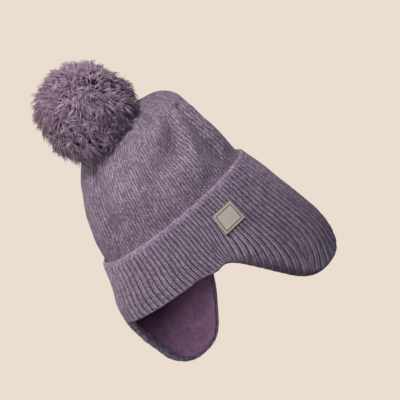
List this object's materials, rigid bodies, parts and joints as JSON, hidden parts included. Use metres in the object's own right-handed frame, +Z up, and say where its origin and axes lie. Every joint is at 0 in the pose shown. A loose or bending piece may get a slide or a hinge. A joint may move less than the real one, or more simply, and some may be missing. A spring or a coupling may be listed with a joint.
{
  "type": "baby hat with ear flaps and pompom",
  "caption": "Dusty mauve knitted baby hat with a turned-up rib cuff, ear flaps, fleece lining, yarn pompom and a small sewn label.",
  "frame": {"origin": "inside of the lining under the gather, where the top of the head sits", "axes": "+Z up through the pompom; the wearer's front is toward -Y; the ear flaps lie toward +X (wearer's left) and -X (wearer's right); the flattened oval's long axis is turned 32 degrees from +X toward +Y"},
  "size_m": [0.1849, 0.1455, 0.303],
  "materials": {
    "crown_knit": "soft fine-rib knit in speckled mauve wool mix, matt and slightly hairy",
    "rib_knit": "two-by-two rib knit in the same mauve wool mix, matt and slightly hairy",
    "fleece": "brushed polyester fleece in deeper purple, very matt with a soft nap",
    "yarn": "cut wool-mix yarn ends, matt",
    "woven_label": "tightly woven beige tape with a darker border line, slightly satin"
  },
  "bodies": {
    "root": {"crown": "crown_knit", "cuff": "rib_knit", "lining": "fleece", "pompom": "yarn", "label": "woven_label"}
  },
  "joints": []
}
